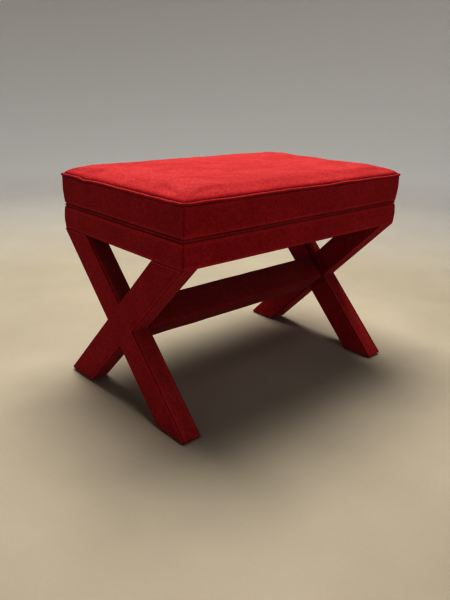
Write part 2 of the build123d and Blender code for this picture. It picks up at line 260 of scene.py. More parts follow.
def side_line(side, half_x, half_y, radius, out, stations):
    """Points of one side of a rounded rectangle, moved out by an amount at each, and their normals."""
    along, reach = (half_x, half_y) if side in ("front", "back") else (half_y, half_x)
    arc = np.maximum(radius + out, 0)
    share, c, s = (stations[:, k].reshape(-1, *[1] * (np.ndim(out) - 1)) for k in range(3))
    x = share * (along + out - arc) + c * arc
    y = reach + out - arc + s * arc
    turn = radians(SIDE_TURNS[side])
    points = np.stack([x * cos(turn) - y * sin(turn), x * sin(turn) + y * cos(turn)], axis=-1)
    normals = np.stack([c * cos(turn) - s * sin(turn), c * sin(turn) + s * cos(turn)], axis=-1)
    return points, np.broadcast_to(normals, points.shape)


def seam_distance(side, half_x, half_y, radius, stations):
    """How far each station is from the nearer corner seam, along the side."""
    line = side_line(side, half_x, half_y, radius, np.zeros(len(stations)), stations)[0]
    steps = np.linalg.norm(np.diff(line, axis=0), axis=1)
    travelled = np.concatenate([[0], np.cumsum(steps)])
    return np.minimum(travelled, travelled[-1] - travelled)


def band_panel(name, side, half_x, half_y, radius, profile, seed, softness, lifts=False):
    """One felt panel of a band round the seat. Its profile is (out, height, extra half x, extra half y)."""
    seam_depth = 0.9
    run = half_x if side in ("front", "back") else half_y
    stations = side_stations(run, 6.0, 8)
    distance = seam_distance(side, half_x, half_y, radius, stations)
    stations = np.concatenate([stations[[0, 0]], stations, stations[[-1, -1]]])
    distance = np.concatenate([[0, 0], distance, [0, 0]])
    allowance = np.concatenate([[4.0, 1.6], np.zeros(len(distance) - 4), [1.6, 4.0]])
    low, high = profile[:, 1].min(), profile[:, 1].max()
    edge = np.minimum(profile[:, 1] - low, high - profile[:, 1])
    pinch = seam_depth * bump(distance, 1.5)[:, None] * (1 + 0.8 * bump(edge, 7))[None, :]
    pull = 0.9 * bump(distance, 16)[:, None] * bump(edge, 14)[None, :]
    out = profile[:, 0][None, :] - pinch - pull - allowance[:, None]
    taper_x, taper_y = profile[:, 2][None, :], profile[:, 3][None, :]
    points, normals = side_line(side, half_x + taper_x, half_y + taper_y, radius, out, stations)
    height = np.broadcast_to(profile[:, 1][None, :], out.shape)
    if lifts:
        height = height + seam_lift(points[:, :, 0], points[:, :, 1]) * (height - low) / (high - low)
    flat = np.concatenate([points, height[:, :, None]], axis=2)
    away = np.concatenate([normals, np.zeros_like(height)[:, :, None]], axis=2)
    inside = (1 - bump(edge, 3.5))[None, :] * (1 - bump(distance, 9))[:, None]
    ripple = softness * waves(flat, 70, seed) + 0.35 * softness * waves(flat * [1, 1, 0.35], 16, seed + 1)
    outer = flat + away * (ripple * inside)[:, :, None]
    # Painted shade along the corner seams, a painted highlight on the rolled edge, and painted shade where
    # the edge turns under.
    seam = (-0.5 if lifts else -0.9) * bump(distance, 1.2)
    fold = 0.4 * bump(edge - 3.8, 1.7) - 0.5 * bump(edge, 1.2)
    return thick_sheet(name, outer, away, felt, painted_shade_and_highlight=seam[:, None] + fold[None, :])


def ring_of_sides(half_x, half_y, radius, out, spacing):
    """All four sides joined into one closed line, with normals."""
    lines, normals = [], []
    for side in ("back", "left", "front", "right"):
        run = half_x if side in ("front", "back") else half_y
        stations = side_stations(run, spacing)
        points, flat = side_line(side, half_x, half_y, radius, np.full(len(stations), float(out)), stations)
        lines.append(points[::-1][:-1])
        normals.append(flat[::-1][:-1])
    return np.concatenate(lines), np.concatenate(normals)


def seam_lift(x, y):
    """How far the top seam leaves its plane: pulled up at the corners, most at one, and sagging in places."""
    to_corner = np.hypot(np.abs(x) - welt_half_x, np.abs(y) - welt_half_y)
    near = bump(np.hypot(x + welt_half_x, y + welt_half_y), 15)
    left = (x < -0.9 * welt_half_x) * bump(y - 105, 18)
    right = (x > 0.9 * welt_half_x) * bump(y + 40, 30)
    front = (y < -0.9 * welt_half_y) * bump(x - 60, 45)
    return 0.5 * bump(to_corner, 12) + 0.7 * near - 2.4 * left - 0.8 * right - 0.7 * front


# ---------------------------------------------------------------- materials
class Nodes:
    """Short calls for a material's node tree."""

    def __init__(self, name, roughness=0.9, metallic=0.0):
        self.material = bpy.data.materials.new(name)
        self.material.use_nodes = True
        self.tree = self.material.node_tree
        self.shader = self.tree.nodes["Principled BSDF"]
        self.shader.inputs["Roughness"].default_value = roughness
        self.shader.inputs["Metallic"].default_value = metallic
        self.position = self.add("ShaderNodeTexCoord").outputs["Object"]

    def add(self, kind, **settings):
        node = self.tree.nodes.new(kind)
        for key, value in settings.items():
            setattr(node, key, value)
        return node

    def link(self, source, target):
        self.tree.links.new(source, target)

    def stretched(self, scale, rotation=(0, 0, 0)):
        node = self.add("ShaderNodeMapping")
        node.inputs["Scale"].default_value = scale
        node.inputs["Rotation"].default_value = rotation
        self.link(self.position, node.inputs["Vector"])
        return node.outputs["Vector"]

    def noise(self, scale, detail=3, roughness=0.55, distortion=0.0, vector=None):
        node = self.add("ShaderNodeTexNoise")
        node.inputs["Scale"].default_value = scale
        node.inputs["Detail"].default_value = detail
        node.inputs["Roughness"].default_value = roughness
        node.inputs["Distortion"].default_value = distortion
        self.link(vector or self.position, node.inputs["Vector"])
        return node.outputs["Fac"]

    def spots(self, scale):
        node = self.add("ShaderNodeTexVoronoi")
        node.inputs["Scale"].default_value = scale
        self.link(self.position, node.inputs["Vector"])
        return node.outputs["Distance"]

    def range(self, value, low, high, to_low=0.0, to_high=1.0):
        node = self.add("ShaderNodeMapRange")
        for key, number in (("From Min", low), ("From Max", high), ("To Min", to_low), ("To Max", to_high)):
            node.inputs[key].default_value = number
        self.link(value, node.inputs["Value"])
        return node.outputs["Result"]

    def math(self, operation, a, b):
        node = self.add("ShaderNodeMath", operation=operation)
        for socket, value in zip(node.inputs, (a, b)):
            if isinstance(value, (int, float)):
                socket.default_value = value
            else:
                self.link(value, socket)
        return node.outputs["Value"]

    def mix(self, factor, a, b):
        node = self.add("ShaderNodeMix", data_type="RGBA")
        for socket, value in zip((node.inputs[0], node.inputs[6], node.inputs[7]), (factor, a, b)):
            if isinstance(value, (int, float)):
                socket.default_value = value
            elif isinstance(value, tuple):
                socket.default_value = (*value, 1)
            else:
                self.link(value, socket)
        return node.outputs[2]

    def colour(self, value):
        self.link(value, self.shader.inputs["Base Color"])

    def roughness(self, value):
        self.link(value, self.shader.inputs["Roughness"])

    def bump(self, height, distance, strength=1.0, under=None):
        node = self.add("ShaderNodeBump")
        node.inputs["Distance"].default_value = distance
        node.inputs["Strength"].default_value = strength
        self.link(height, node.inputs["Height"])
        if under is not None:
            self.link(under, node.inputs["Normal"])
        return node.outputs["Normal"]

    def normal(self, value):
        self.link(value, self.shader.inputs["Normal"])


def felt_material():
    """Brushed wool felt: matted fibres in clumps, cloudy nap, specks of lint, a painted highlight that makes
    it paler where it faces up, and painted shade in seam grooves and painted highlights on ridges.
    """
    m = Nodes("red_wool_felt", 0.95)
    fibres = m.noise(1000, 4, 0.7, 0.6)
    long_fibres = m.noise(420, 3, 0.6, 1.2, m.stretched((1, 0.35, 1), (0, 0, radians(35))))
    clumps = m.noise(330, 2, 0.6, 0.5)
    tufts = m.noise(210, 2, 0.55, 0.8)
    cloud = m.noise(24, 3, 0.55, 0.4)
    nap = m.noise(6.5, 2, 0.5, 1.8, m.stretched((1, 1.7, 1), (0, 0, radians(25))))
    tone = m.mix(m.range(fibres, 0.35, 0.68), (0.33, 0.0068, 0.0121), (0.50, 0.0169, 0.0264))
    # Painted highlight: surfaces that face up are mixed toward a paler, whiter red, standing in for the
    # strong light on the top.
    painted_top_highlight_normal = m.add("ShaderNodeSeparateXYZ")
    m.link(m.add("ShaderNodeNewGeometry").outputs["Normal"], painted_top_highlight_normal.inputs[0])
    tone = m.mix(m.range(painted_top_highlight_normal.outputs["Z"], 0.5, 1.0, 0.0, 0.62), tone, (0.46, 0.120, 0.110))
    tone = m.mix(m.range(clumps, 0.40, 0.60, 0.0, 0.66), tone, (0.24, 0.0041, 0.0085))
    tone = m.mix(m.range(tufts, 0.46, 0.60, 0.0, 0.30), tone, (0.60, 0.050, 0.055))
    tone = m.mix(m.range(long_fibres, 0.46, 0.72, 0, 0.40), tone, (0.62, 0.0365, 0.0496))
    tone = m.mix(m.range(cloud, 0.40, 0.60, 0.08, 0.0), tone, (0.22, 0.0027, 0.0062))
    tone = m.mix(m.range(nap, 0.46, 0.54, 0.20, 0.0), tone, (0.25, 0.0027, 0.0062))
    lint = m.range(m.spots(34), 0.0, 0.013, 0.55, 0.0)
    tone = m.mix(lint, tone, (0.62, 0.36, 0.33))
    # Painted shade and highlight: values below 0 darken the felt where shade is painted in seam grooves, at
    # tucked edges and underneath; values above 0 make it paler where a highlight is painted on ridges and
    # rolled edges.
    painted_shade_and_highlight = m.add("ShaderNodeAttribute", attribute_type="GEOMETRY", attribute_name="painted_shade_and_highlight").outputs["Fac"]
    tone = m.mix(m.range(painted_shade_and_highlight, -1.0, 0.0, 0.60, 0.0), tone, (0.030, 0.0004, 0.0008))
    tone = m.mix(m.range(painted_shade_and_highlight, 0.0, 1.0, 0.0, 0.55), tone, (0.85, 0.05, 0.06))
    m.colour(tone)
    m.roughness(m.range(fibres, 0.3, 0.7, 0.88, 1.0))
    m.shader.inputs["Specular IOR Level"].default_value = 0.08
    m.shader.inputs["Sheen Weight"].default_value = 0.17
    m.shader.inputs["Sheen Roughness"].default_value = 0.45
    m.shader.inputs["Sheen Tint"].default_value = (1.0, 0.46, 0.44, 1)
    coarse = m.bump(m.math("ADD", fibres, long_fibres), 0.0004, 0.6)
    m.normal(m.bump(clumps, 0.0007, 0.5, coarse))
    return m.material


def dust_cloth_material():
    """Black non-woven cloth with a fine bonded dot pattern."""
    m = Nodes("black_dust_cloth", 0.85)
    dots = m.range(m.spots(420), 0.15, 0.4)
    fuzz = m.noise(700, 3, 0.7)
    m.colour(m.mix(m.math("MULTIPLY", dots, fuzz), (0.012, 0.012, 0.013), (0.035, 0.034, 0.036)))
    m.roughness(m.range(fuzz, 0.3, 0.7, 0.75, 0.95))
    m.normal(m.bump(dots, 0.0002, 0.6))
    return m.material


def plastic_material():
    """Dark glide plastic, scuffed where it slides."""
    m = Nodes("dark_glide_plastic", 0.5)
    scuffs = m.noise(320, 4, 0.7, 0.8, m.stretched((1, 0.2, 1)))
    m.colour(m.mix(m.range(scuffs, 0.45, 0.75), (0.018, 0.014, 0.012), (0.075, 0.064, 0.055)))
    m.roughness(m.range(scuffs, 0.3, 0.8, 0.38, 0.72))
    m.normal(m.bump(scuffs, 0.00015, 0.5))
    return m.material


def steel_material():
    """Zinc-plated steel with a faint yellow bloom."""
    m = Nodes("zinc_plated_steel", 0.35, 1.0)
    bloom = m.noise(90, 3, 0.6)
    grain = m.noise(1500, 2, 0.6, 0.0, m.stretched((1, 1, 0.1)))
    m.colour(m.mix(m.range(bloom, 0.35, 0.65), (0.60, 0.61, 0.63), (0.66, 0.62, 0.50)))
    m.roughness(m.range(grain, 0.3, 0.7, 0.26, 0.48))
    m.normal(m.bump(grain, 0.00005, 0.4))
    return m.material


def wood_material(name, pale, dark, run):
    """Sawn hardwood with grain along one axis."""
    m = Nodes(name, 0.65)
    rings = m.noise(60, 4, 0.6, 2.2, m.stretched(run))
    pores = m.noise(700, 2, 0.6, 0.0, m.stretched(run))
    tone = m.mix(m.range(rings, 0.35, 0.65), pale, dark)
    tone = m.mix(m.range(pores, 0.55, 0.75, 0, 0.5), tone, tuple(0.5 * c for c in dark))
    m.colour(tone)
    m.roughness(m.range(pores, 0.3, 0.7, 0.55, 0.8))
    m.normal(m.bump(pores, 0.0002, 0.5))
    return m.material


def plywood_material():
    """Plywood: pale grain, with layers that show on its edges."""
    m = Nodes("plywood", 0.7)
    layers = m.add("ShaderNodeTexWave", wave_type="BANDS", bands_direction="Z")
    layers.inputs["Scale"].default_value = 130
    m.link(m.position, layers.inputs["Vector"])
    grain = m.noise(90, 4, 0.65, 1.5, m.stretched((0.08, 1, 1)))
    tone = m.mix(m.range(grain, 0.3, 0.7), (0.72, 0.56, 0.36), (0.52, 0.36, 0.20))
    m.colour(m.mix(m.range(layers.outputs["Fac"], 0.3, 0.7, 0.0, 0.25), tone, (0.40, 0.26, 0.14)))
    m.roughness(m.range(grain, 0.3, 0.7, 0.6, 0.85))
    m.normal(m.bump(grain, 0.0002, 0.4))
    return m.material


def soft_filling_material(name, pale, dark, scale):
    """Foam, wadding or cord: open cells or loose fibres."""
    m = Nodes(name, 0.95)
    cells = m.spots(scale)
    tone = m.mix(m.range(cells, 0.1, 0.6), dark, pale)
    m.colour(m.mix(m.range(m.noise(30, 2), 0.35, 0.65, 0, 0.2), tone, dark))
    m.roughness(m.range(cells, 0.0, 0.6, 0.85, 1.0))
    m.normal(m.bump(cells, 0.0006, 0.8))
    return m.material


def floor_material():
    """Pale plain studio floor, paler still toward the backdrop."""
    m = Nodes("pale_studio_floor", 0.75)
    tone = m.mix(m.range(m.noise(3, 3), 0.3, 0.7), (0.40, 0.355, 0.275), (0.45, 0.405, 0.315))
    far = m.add("ShaderNodeVectorMath", operation="LENGTH")
    m.link(m.position, far.inputs[0])
    m.colour(m.mix(m.range(far.outputs["Value"], 0.9, 2.8), tone, (0.74, 0.73, 0.71)))
    m.roughness(m.range(m.noise(140, 3), 0.3, 0.7, 0.7, 0.85))
    return m.material


felt = felt_material()
dust_cloth = dust_cloth_material()
glide_plastic = plastic_material()
zinc_steel = steel_material()
beech_lengthwise = wood_material("beech_lengthwise", (0.66, 0.46, 0.28), (0.50, 0.31, 0.17), (0.06, 1, 1))
beech_crosswise = wood_material("beech_crosswise", (0.66, 0.46, 0.28), (0.50, 0.31, 0.17), (1, 0.06, 1))
beech_upright = wood_material("beech_upright", (0.64, 0.45, 0.28), (0.47, 0.30, 0.17), (1, 0.3, 0.1))
plywood = plywood_material()
foam = soft_filling_material("cream_foam", (0.80, 0.72, 0.50), (0.55, 0.47, 0.28), 900)
wadding = soft_filling_material("white_wadding", (0.85, 0.85, 0.83), (0.62, 0.62, 0.60), 500)
filler_cord = soft_filling_material("filler_cord", (0.80, 0.77, 0.70), (0.55, 0.52, 0.45), 1300)

# ---------------------------------------------------------------- cushion
welt_tuck = 1.5
welt_corner = 4.0
seam_from_welt = 2.9
top_half_x = welt_half_x - welt_tuck - seam_from_welt
top_half_y = welt_half_y - welt_tuck - seam_from_welt
seam_z = welt_z + 0.2
top_corner = welt_corner - seam_from_welt
crown_rise = crown_high - seam_z + 3.5
roll_width, roll_rise = 7.0, 4.6
shoulder_width = 29.0
dome_rise = 2.2
cloth_steps = 20
most_movement = 3.0


def crown_height(x, y):
    """How far the padded top stands above its seam: a steep roll, a shoulder, then a slow dome."""
    edge_x = np.maximum(top_half_x - np.abs(x), 0.01)
    edge_y = np.maximum(top_half_y - np.abs(y), 0.01)
    edge = (edge_x**-3.5 + edge_y**-3.5) ** (-1 / 3.5)
    roll = np.sqrt(1 - (1 - np.clip(edge / roll_width, 0, 1)) ** 2)
    shoulder = 1 - (1 - np.clip(edge / shoulder_width, 0, 1)) ** 2.4
    dome = (1 - (x / top_half_x) ** 2) * (1 - (y / top_half_y) ** 2)
    dent = 1.3 * bump(np.hypot((x + 205) / 1.4, y - 130), 24)
    return roll_rise * roll + (crown_rise - roll_rise - dome_rise) * shoulder + dome_rise * dome - dent


def edge_graded(half, spacing):
    """Grid lines across the cushion that bunch up toward both edges."""
    near = np.array([0, 0.25, 0.8, 1.7, 3.0, 4.8, 7.2, 10.2])
    reach = half - 14
    middle = np.linspace(-reach, reach, int(2 * reach / spacing) + 1)
    return np.concatenate([near - half, middle, half - near[::-1]])


def rounded_corners(x, y, half_x, half_y, radius):
    """Moves the points in each corner square onto a quarter disc."""
    over_x = np.abs(x) - (half_x - radius)
    over_y = np.abs(y) - (half_y - radius)
    corner = (over_x > 0) & (over_y > 0)
    scale = np.where(corner, np.maximum(over_x, over_y) / np.maximum(np.hypot(over_x, over_y), 1e-9), 1)
    new_x = np.where(corner, np.sign(x) * (half_x - radius + over_x * scale), x)
    new_y = np.where(corner, np.sign(y) * (half_y - radius + over_y * scale), y)
    return new_x, new_y


def settle_cover(points, rows, columns):
    """Lets the sewn top inflate a little against its seam, and returns where its points go."""
    sheet = new_object("settling_cover", points, grid_faces(rows, columns), felt)
    rim = [i * columns + j for i in range(rows) for j in range(columns)
           if i in (0, rows - 1) or j in (0, columns - 1)]
    pins = sheet.vertex_groups.new(name="seam")
    pins.add(rim, 1.0, "ADD")
    cloth = sheet.modifiers.new("cloth", "CLOTH")
    cloth.settings.quality = 6
    cloth.settings.mass = 0.25
    cloth.settings.tension_stiffness = 18
    cloth.settings.compression_stiffness = 12
    cloth.settings.shear_stiffness = 8
    cloth.settings.bending_stiffness = 1.2
    cloth.settings.use_pressure = True
    cloth.settings.uniform_pressure_force = 0.8
    cloth.settings.vertex_group_mass = "seam"
    cloth.settings.effector_weights.gravity = 0
    cloth.point_cache.frame_start = 1
    cloth.point_cache.frame_end = cloth_steps
    for number in range(1, cloth_steps + 1):
        scene.frame_set(number)
    graph = bpy.context.evaluated_depsgraph_get()
    result = np.empty(len(points) * 3)
    sheet.evaluated_get(graph).data.vertices.foreach_get("co", result)
    bpy.data.objects.remove(sheet)
    scene.frame_set(1)
    return result.reshape(-1, 3) / MM


def make_cushion():
    """The crowned cushion: felt top over wadding and foam, closed below, inside the boxing."""
    x, y = np.meshgrid(edge_graded(top_half_x, 5.4), edge_graded(top_half_y, 5.4), indexing="ij")
    rows, columns = x.shape
    z = seam_z + crown_height(x, y)
    edge = np.minimum(top_half_x - np.abs(x), top_half_y - np.abs(y)).reshape(-1)
    x, y = rounded_corners(x, y, top_half_x, top_half_y, top_corner)
    z = z + seam_lift(x, y) * bump(edge.reshape(x.shape), 16)
    start = np.stack([x, y, z], axis=2).reshape(-1, 3)
    points = start.copy()
    inside = 1 - bump(edge, 10)
    moved = settle_cover(start, rows, columns) - start
    length = np.linalg.norm(moved, axis=1)[:, None]
    points = start + moved * inside[:, None] * np.minimum(1, most_movement / np.maximum(length, 1e-9))
    points[:, 2] += inside * (0.5 * waves(start, 120, 5) + 0.18 * waves(start, 38, 6))
    faces = grid_faces(rows, columns)
    rim = ([i * columns for i in range(rows)]
           + [(rows - 1) * columns + j for j in range(1, columns)]
           + [i * columns + columns - 1 for i in range(rows - 2, -1, -1)]
           + [j for j in range(columns - 2, 0, -1)])
    levels = []
    for inset, height in ((0.5, seam_z - 1.5), (0.9, seam_z - 4), (0.9, deck_top + 3)):
        ring = points[rim]
        ring[:, :2] -= np.sign(ring[:, :2]) * inset
        ring[:, 2] = height
        levels.append(ring)
    base = start * [0.994, 0.99, 0] + [0, 0, deck_top + 0.3]
    count, around = len(points), len(rim)
    base_first = count + len(levels) * around
    loops = [rim]
    loops += [[count + k * around + i for i in range(around)] for k in range(len(levels))]
    loops.append([base_first + i for i in rim])
    for upper, lower in zip(loops, loops[1:]):
        faces += [(upper[i], upper[i - 1], lower[i - 1], lower[i]) for i in range(around)]
    faces += grid_faces(rows, columns, first=base_first)
    below = len(levels) * around + len(base)
    # Painted highlight near the rolled edge, painted shade at the seam under the welt, and painted shade over
    # all the sides and base below the top.
    painted_shade_and_highlight = np.concatenate([0.25 * bump(edge - 3.5, 1.5) - 0.8 * bump(edge, 1.2), np.full(below, -0.8)])
    cushion = new_object("seat_cushion", np.concatenate([points, *levels, base]), faces, felt, painted_shade_and_highlight)
    finish_mesh(cushion, 70)
    smooth = cushion.modifiers.new("finer", "SUBSURF")
    smooth.levels = smooth.render_levels = 1
    apply_modifiers(cushion)
    return finish_mesh(cushion, 70)


cushion = make_cushion()
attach(cushion, "root")
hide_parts("seat_top_cover", "seat_wadding")


# ---------------------------------------------------------------- welts
def make_welt(name, half_x, half_y, corner, radius, height, wander, seed, material, lifts=False):
    """A round felt welt along a closed line, with the slight wander of hand-fed piping."""
    line, normals = ring_of_sides(half_x, half_y, corner, 0, 5.0)
    place = np.column_stack([line, np.full(len(line), height)])
    side = wander * waves(place, 90, seed)
    rise = wander * waves(place, 110, seed + 1) + 0.3 * wander * waves(place, 24, seed + 2)
    if lifts:
        rise = rise + seam_lift(line[:, 0], line[:, 1])
    swell = radius * (1 + 0.05 * waves(place, 30, seed + 3))
    rings = []
    for angle in np.linspace(0, 2 * pi, 15)[:-1]:
        out = side + swell * cos(angle)
        up = height + rise + swell * sin(angle) * 0.94
        rings.append(np.column_stack([line + normals * out[:, None], up]))
    return tube(name, np.stack(rings, axis=1), material)


top_welt = make_welt("top_welt", welt_half_x - welt_tuck, welt_half_y - welt_tuck, welt_corner,
                     welt_radius * 1.14, welt_z, 0.35, 21, felt, lifts=True)
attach(top_welt, "root")
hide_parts("top_welt_cover", "top_welt_cord")

mid_radius = 2.1
mid_inset = 3.0
mid_z = (apron_high[2] + boxing_low[2]) / 2
mid_welt = make_welt("mid_welt_cord", apron_half_x - mid_inset, apron_half_y - mid_inset, 4.0,
                     mid_radius, mid_z, 0.18, 31, felt)
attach(mid_welt, "root")
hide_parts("mid_welt")


def make_mid_flange():
    """The flat flange of the mid welt, held between the two bands."""
    line, normals = ring_of_sides(apron_half_x - 4.1, apron_half_y - 4.1, 2.0, 0, 8.0)
    heights = np.linspace(mid_z - 8, mid_z + 6, 6)
    outer = np.stack([np.column_stack([line, np.full(len(line), z)]) for z in heights], axis=1)
    away = np.column_stack([normals, np.zeros(len(line))])[:, None, :]
    return thick_sheet("mid_welt_flange", outer, away, felt, 0.8, wrap=True)


mid_flange = make_mid_flange()
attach(mid_flange, "root")


# ---------------------------------------------------------------- boxing and apron panels
boxing_bottom_in_x, boxing_bottom_in_y = 1.4, 2.3


def boxing_profile():
    """Height section of the upper band: tucked under the top welt, and tapering to the mid welt."""
    low, high = boxing_low[2] - 0.6, boxing_high[2] + 0.2
    corners = [(-5, high), (0, high), (0.7, (low + high) / 2), (0, low), (-6, low)]
    line = resample(rounded(corners, (2.6, 60, 4.6), 6), 4.5)
    share = (high - line[:, 1]) / (high - low)
    return np.column_stack([line, 0.3 - boxing_bottom_in_x * share, -boxing_bottom_in_y * share])


def apron_profile():
    """Height section of the apron: rounded at its top and bottom, and turned under the frame."""
    low, high = apron_low[2], apron_high[2] + 0.5
    corners = [(-6, high), (0, high), (1.1, (low + high) / 2), (0, low), (-25, low + 0.2)]
    line = resample(rounded(corners, (5.2, 60, 4.4), 7), 4.5)
    return np.column_stack([line, np.zeros(len(line)), np.zeros(len(line))])


for number, side in enumerate(SIDE_TURNS):
    panel = band_panel(f"boxing_panel_{side}", side, boxing_half_x, boxing_half_y, 4.5,
                       boxing_profile(), 40 + 3 * number, 0.32, lifts=True)
    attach(panel, "root")
    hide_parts(f"boxing_{side}")
    panel = band_panel(f"apron_panel_{side}", side, apron_half_x, apron_half_y, 4.5,
                       apron_profile(), 60 + 3 * number, 0.28)
    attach(panel, "root")
    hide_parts(f"apron_cover_{side}", *(["apron_wadding"] if side == "front" else []))


# ---------------------------------------------------------------- X frames
def bar_centre(direction, height):
    return direction * (height - cross_z) * lean_slope


def x_corners(inset):
    """The corners of the X seen from the side, moved in by an inset across the bars."""
    half = bar_half - inset / cos(lean)
    rise = half / lean_slope
    low, high = foot_z, bar_top_z
    return {
        "front_foot_out": (bar_centre(1, low) - half, low),
        "front_foot_in": (bar_centre(1, low) + half, low),
        "back_foot_in": (bar_centre(-1, low) - half, low),
        "back_foot_out": (bar_centre(-1, low) + half, low),
        "back_top_out": (bar_centre(1, high) + half, high),
        "back_top_in": (bar_centre(1, high) - half, high),
        "front_top_in": (bar_centre(-1, high) + half, high),
        "front_top_out": (bar_centre(-1, high) - half, high),
        "front_notch": (-half, cross_z),
        "back_notch": (half, cross_z),
        "top_notch": (0, cross_z + rise),
        "bottom_notch": (0, cross_z - rise),
    }


X_ORDER = ("front_foot_out", "front_foot_in", "bottom_notch", "back_foot_in", "back_foot_out", "back_notch",
           "back_top_out", "back_top_in", "top_notch", "front_top_in", "front_top_out", "front_notch")
X_PATCHES = (("front_notch", "bottom_notch", "front_foot_out", "front_foot_in"),
             ("bottom_notch", "back_notch", "back_foot_in", "back_foot_out"),
             ("back_notch", "top_notch", "back_top_out", "back_top_in"),
             ("top_notch", "front_notch", "front_top_in", "front_top_out"))
FOOT_CORNERS = (("front_foot_out", "front_foot_in", "front_notch"),
                ("front_foot_in", "front_foot_out", "bottom_notch"),
                ("back_foot_out", "back_foot_in", "back_notch"),
                ("back_foot_in", "back_foot_out", "bottom_notch"))


def foot_radius(key, inset):
    """Round of a foot's corner: tighter where the felt is drawn in close to the bar inside it."""
    return max(foot_radii[key.split("_")[-1]] - foot_tightening * inset, tightest_foot)


def round_feet(flat, corners, inset):
    """Moves the points beside each corner of the feet in under a round corner."""
    flat = flat.copy()
    for keys in FOOT_CORNERS:
        corner, beside, above = (corners[key] for key in keys)
        radius = foot_radius(keys[0], inset)
        a = (beside - corner) / np.linalg.norm(beside - corner)
        b = (above - corner) / np.linalg.norm(above - corner)
        half = np.arccos(a @ b) / 2
        centre = corner + (a + b) / np.linalg.norm(a + b) * radius / sin(half)
        away = flat - centre
        normal_a = ((a @ b) * a - b) / sin(2 * half)
        normal_b = ((a @ b) * b - a) / sin(2 * half)
        shrink = np.maximum(away @ normal_a, away @ normal_b) / (np.linalg.norm(away, axis=1) + 1e-9)
        outside = (away @ a < 0) & (away @ b < 0)
        flat = np.where(outside[:, None], centre + away * shrink[:, None], flat)
    return flat


def outline_distance(points, outline):
    """Distance of 2-D points from a closed outline."""
    best = np.full(len(points), 1e9)
    for a, b in zip(outline, np.roll(outline, -1, axis=0)):
        run = b - a
        share = np.clip(((points - a) @ run) / (run @ run), 0, 1)
        best = np.minimum(best, np.linalg.norm(points - a - share[:, None] * run, axis=1))
    return best


def x_panel_mesh(name, face_x, facing, inset, wall, seed):
    """A felt panel of the whole X, its edges rolled over the padding, with a raised lip along the seam.

    Known fault: the inner panels' faces still come out facing inward.
    """
    corners = {key: np.array(value) for key, value in x_corners(inset).items()}
    outline = np.array([corners[key] for key in X_ORDER])
    bar_width = np.linalg.norm(corners["front_notch"] - corners["bottom_notch"])
    near = np.array([0, 0.15, 0.5, 1.0, 1.6, 2.3, 3.2, 4.4, 6, 9, 14, 21])
    across = np.concatenate([near, [bar_width / 2], bar_width - near[::-1]]) / bar_width
    points, faces = [], []

    def patch(a, b, c, d, shares):
        """Quads between the edge a-b and the edge c-d."""
        first = len(points)
        for share in shares:
            first_side, last_side = a + (c - a) * share, b + (d - b) * share
            points.extend(first_side + (last_side - first_side) * t for t in across)
        faces.extend(grid_faces(len(shares), len(across), first=first))

    patch(*(corners[key] for key in ("front_notch", "bottom_notch", "top_notch", "back_notch")), across)
    for a, b, c, d in X_PATCHES:
        a, b, c, d = corners[a], corners[b], corners[c], corners[d]
        length = np.linalg.norm(c - a)
        tail = 1 - near[::-1] / length
        shares = np.concatenate([np.linspace(0, tail[0], 22)[:-1], tail])
        patch(a, b, c, d, shares)
    flat = np.array(points)
    distance = outline_distance(flat, outline)
    roll = 1.6
    depth = np.where(distance < roll, roll - np.sqrt(np.maximum(roll**2 - (roll - distance) ** 2, 0)), 0)
    place = np.column_stack([np.full(len(flat), face_x), flat])
    padding = 0.8 * (1 - np.exp(-distance / 8)) + 0.22 * waves(place, 60, seed) * (1 - bump(distance, 6))
    lip = 0.40 * bump(distance - 1.9, 0.9) - 0.25 * bump(distance - 4.4, 1.0)
    x = face_x + facing * (padding + lip - depth)
    # Painted highlight on the raised lip, and painted shade in the groove beside it and at the very edge.
    painted_shade_and_highlight = 0.45 * bump(distance - 1.7, 0.9) - 0.25 * bump(distance - 4.4, 1.0) - 0.6 * bump(distance, 0.5)
    panel = new_object(name, np.column_stack([x, round_feet(flat, corners, inset)]), faces, felt, painted_shade_and_highlight)
    work = bmesh.new()
    work.from_mesh(panel.data)
    bmesh.ops.remove_doubles(work, verts=work.verts, dist=2e-5)
    rim = [edge for edge in work.edges if edge.is_boundary]
    skirt = bmesh.ops.extrude_edge_only(work, edges=rim)
    for vertex in (item for item in skirt["geom"] if isinstance(item, bmesh.types.BMVert)):
        at_level_end = not foot_z + 0.5 < vertex.co.z / MM < bar_top_z - 0.5
        vertex.co.x = (face_x - facing * (wall + level_end_reach * at_level_end)) * MM
    bmesh.ops.recalc_face_normals(work, faces=work.faces)
    outward = sum(face.normal.x * face.calc_area() for face in work.faces)
    if outward * facing < 0:
        bmesh.ops.reverse_faces(work, faces=work.faces)
    work.to_mesh(panel.data)
    work.free()
    shell = panel.modifiers.new("felt", "SOLIDIFY")
    shell.thickness = 1.2 * MM
    shell.offset = -1
    apply_modifiers(panel)
    return finish_mesh(panel, 50)


def divided(line, parts, shortest=40):
    """The same line with each of its long runs divided into as many parts."""
    out = [line[0]]
    for start, end in zip(line, line[1:]):
        count = parts if np.linalg.norm(end - start) > shortest else 1
        out += [start + (end - start) * (k + 1) / count for k in range(count)]
    return np.array(out)


def strip_line(keys, inset, turn_in):
    """The line of one side strip through three corners, turned in under the feet."""
    corners = x_corners(inset)
    line = [np.array(corners[key]) for key in keys]
    radii = [notch_radius]
    if turn_in[0]:
        line.insert(0, line[0] + np.array([turn_in[0], 0]))
        radii.insert(0, foot_radius(keys[0], inset))
    if turn_in[1]:
        line.append(line[-1] + np.array([turn_in[1], 0]))
        radii.append(foot_radius(keys[-1], inset))
    return divided(rounded(line, radii, 6), 32)


STRIPS = {
    "front": (("front_top_out", "front_notch", "front_foot_out"), (0, 15)),
    "back": (("back_foot_out", "back_notch", "back_top_out"), (-15, 0)),
    "top": (("back_top_in", "top_notch", "front_top_in"), (0, 0)),
    "bottom": (("front_foot_in", "bottom_notch", "back_foot_in"), (-6, 6)),
}


